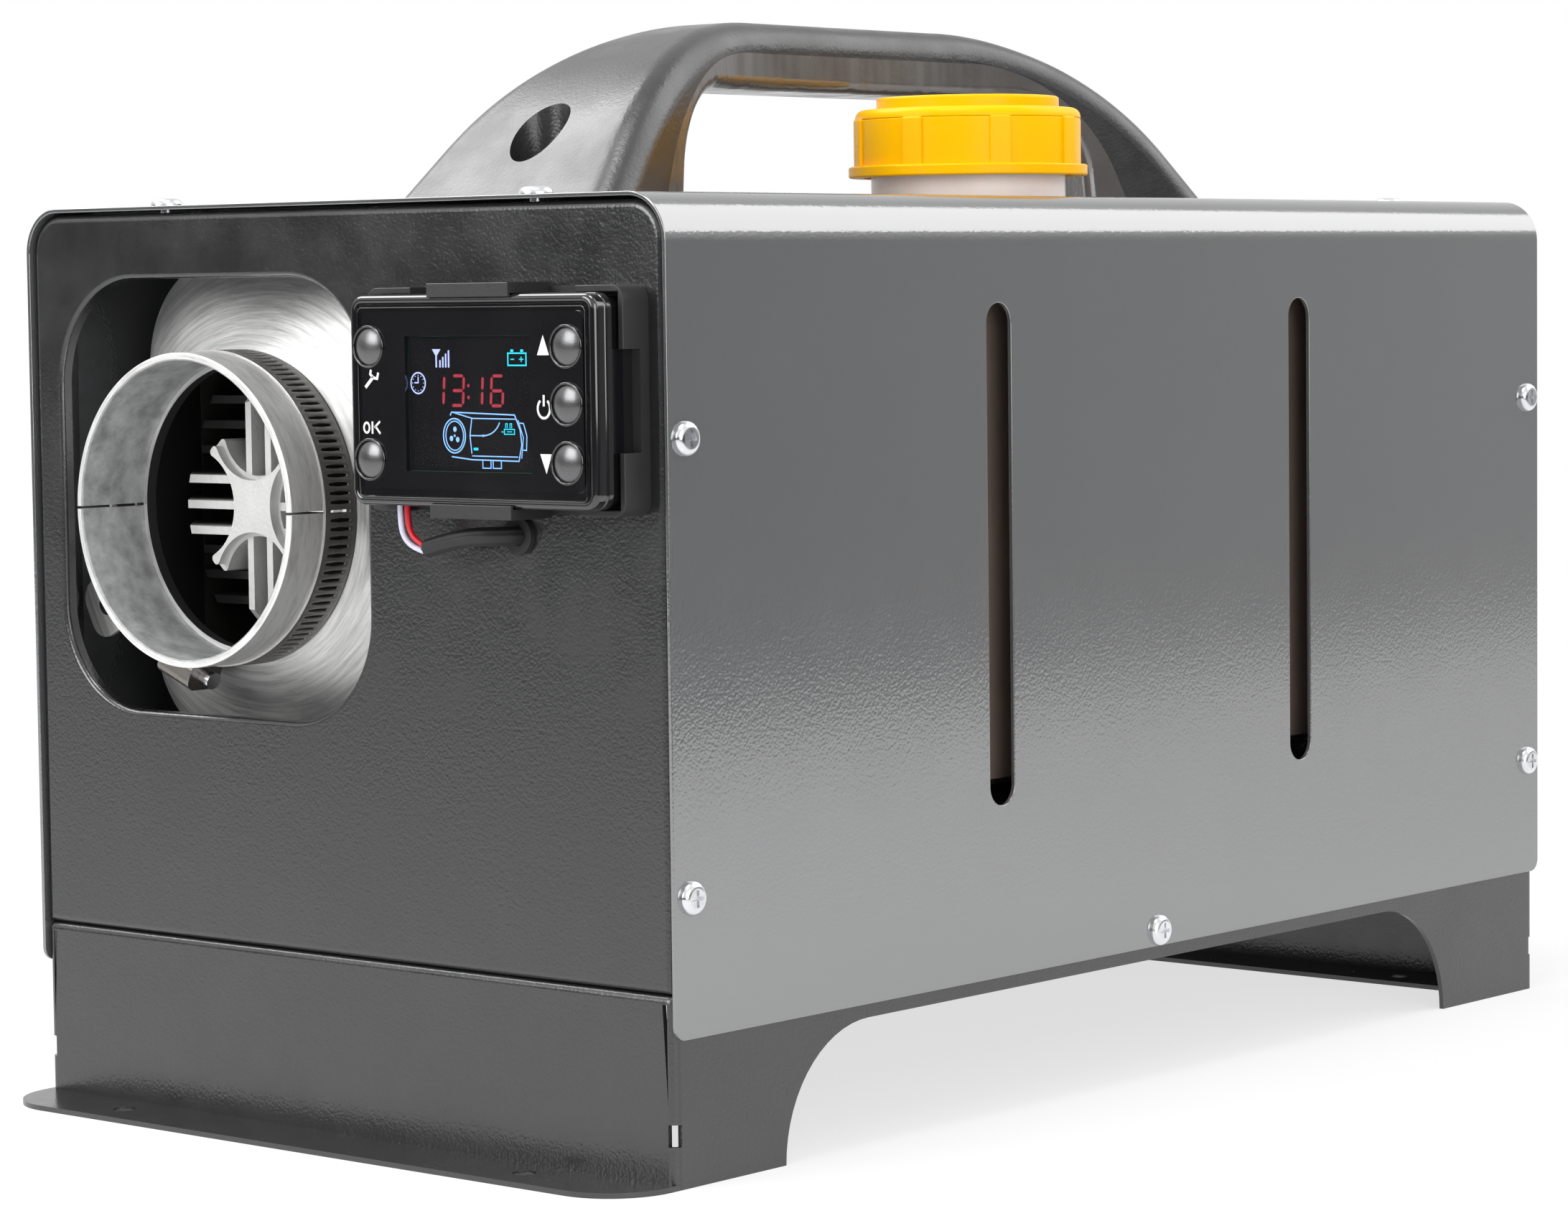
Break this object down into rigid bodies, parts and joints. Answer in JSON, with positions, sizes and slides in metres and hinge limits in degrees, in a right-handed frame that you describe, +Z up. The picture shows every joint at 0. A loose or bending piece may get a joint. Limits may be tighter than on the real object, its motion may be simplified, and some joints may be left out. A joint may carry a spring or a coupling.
{
  "type": "portable diesel air heater",
  "caption": "Portable diesel air heater in a sheet metal case with legs, a warm air outlet collar, a clipped-on controller, a screw fuel cap and a carrying handle.",
  "frame": {"origin": "on the floor under the middle of the overall box", "axes": "-Y is the way the warm air leaves, +X is the side of the fuel tank and the controller, +Z is up"},
  "size_m": [0.2584, 0.471, 0.319],
  "materials": {
    "cover_paint": "fine textured powder coat, dark grey",
    "case_paint": "fine textured powder coat, darker grey",
    "grip_black": "fine textured black plastic",
    "cap_yellow": "moulded yellow plastic",
    "collar_metal": "satin silver grey",
    "stainless": "brushed stainless steel",
    "zinc_steel": "bright zinc",
    "cast_alloy": "as cast aluminium",
    "shell_plastic": "moulded heat proof plastic",
    "tank_plastic": "natural milky polyethylene",
    "control_plastic": "satin black plastic",
    "button_metal": "satin steel dome",
    "window": "clear display window",
    "board_green": "printed circuit board",
    "rubber_black": "soft black rubber",
    "lead_white": "white insulation",
    "lead_red": "red insulation",
    "lead_blue": "dark blue insulation",
    "motor_steel": "plain steel"
  },
  "bodies": {
    "heater": {"cover": "cover_paint", "front_panel": "case_paint", "rear_panel": "case_paint", "base": "case_paint", "cover_screws": "zinc_steel", "handle_shell": "grip_black", "handle_insert": "grip_black", "handle_screws": "zinc_steel", "outlet_hood": "stainless", "collar_upper": "collar_metal", "collar_lower": "collar_metal", "clamp_band": "stainless", "clamp_housing": "stainless", "clamp_screw": "zinc_steel", "heater_shell_upper": "shell_plastic", "heater_shell_lower": "shell_plastic", "heat_exchanger": "cast_alloy", "overheat_sensor": "shell_plastic", "burner_tube": "stainless", "glow_plug": "zinc_steel", "blower_housing": "cast_alloy", "motor_body": "motor_steel", "control_unit": "shell_plastic", "heater_gasket": "rubber_black", "heater_bracket": "zinc_steel", "heater_nuts": "zinc_steel", "exhaust_pipe": "stainless", "intake_pipe": "rubber_black", "fuel_tank": "tank_plastic", "tank_shelf": "zinc_steel", "tank_strap": "stainless", "fuel_filter": "shell_plastic", "pump_body": "cast_alloy", "pump_clamp": "rubber_black", "fuel_hose_tank": "rubber_black", "fuel_hose_pump": "rubber_black", "controller_bezel": "control_plastic", "controller_lens": "window", "controller_board": "board_green", "controller_back": "control_plastic", "controller_bracket": "control_plastic", "lead_sleeve": "rubber_black", "lead_white": "lead_white", "lead_blue": "lead_blue", "lead_red": "lead_red", "panel_grommet": "rubber_black", "power_gland": "shell_plastic", "inlet_grille": "motor_steel"},
    "cap_seal": {"cap_seal": "rubber_black"},
    "fuel_cap": {"fuel_cap": "cap_yellow"},
    "rotor": {"rotor_shaft": "zinc_steel", "combustion_fan": "cast_alloy", "air_fan": "shell_plastic"},
    "plunger": {"pump_plunger": "zinc_steel"},
    "button_settings": {"button_settings": "button_metal"},
    "button_ok": {"button_ok": "button_metal"},
    "button_up": {"button_up": "button_metal"},
    "button_power": {"button_power": "button_metal"},
    "button_down": {"button_down": "button_metal"}
  },
  "joints": [
    {"name": "cap_lift", "type": "slide", "parent": "heater", "child": "cap_seal", "axis": [0, 0, 1], "range_m": [0, 0.0091]},
    {"name": "cap_turn", "type": "hinge", "parent": "cap_seal", "child": "fuel_cap", "pos_m": [0.057, 0.0035, 0.28], "axis": [0, 0, 1], "range_deg": [0, 540]},
    {"name": "fan_spin", "type": "hinge", "parent": "heater", "child": "rotor", "pos_m": [-0.05, 0.09, 0.177], "axis": [0, 1, 0], "continuous": true},
    {"name": "plunger_stroke", "type": "slide", "parent": "heater", "child": "plunger", "axis": [0, 1, 0], "range_m": [0, 0.003], "stiffness_N_per_m": 500},
    {"name": "press_settings", "type": "slide", "parent": "heater", "child": "button_settings", "axis": [0, 1, 0], "range_m": [0, 0.001], "stiffness_N_per_m": 300},
    {"name": "press_ok", "type": "slide", "parent": "heater", "child": "button_ok", "axis": [0, 1, 0], "range_m": [0, 0.001], "stiffness_N_per_m": 300},
    {"name": "press_up", "type": "slide", "parent": "heater", "child": "button_up", "axis": [0, 1, 0], "range_m": [0, 0.001], "stiffness_N_per_m": 300},
    {"name": "press_power", "type": "slide", "parent": "heater", "child": "button_power", "axis": [0, 1, 0], "range_m": [0, 0.001], "stiffness_N_per_m": 300},
    {"name": "press_down", "type": "slide", "parent": "heater", "child": "button_down", "axis": [0, 1, 0], "range_m": [0, 0.001], "stiffness_N_per_m": 300}
  ],
  "couplings": [
    {"joint": "cap_lift", "follows": "cap_turn", "m_per_rad": 0.000955}
  ]
}
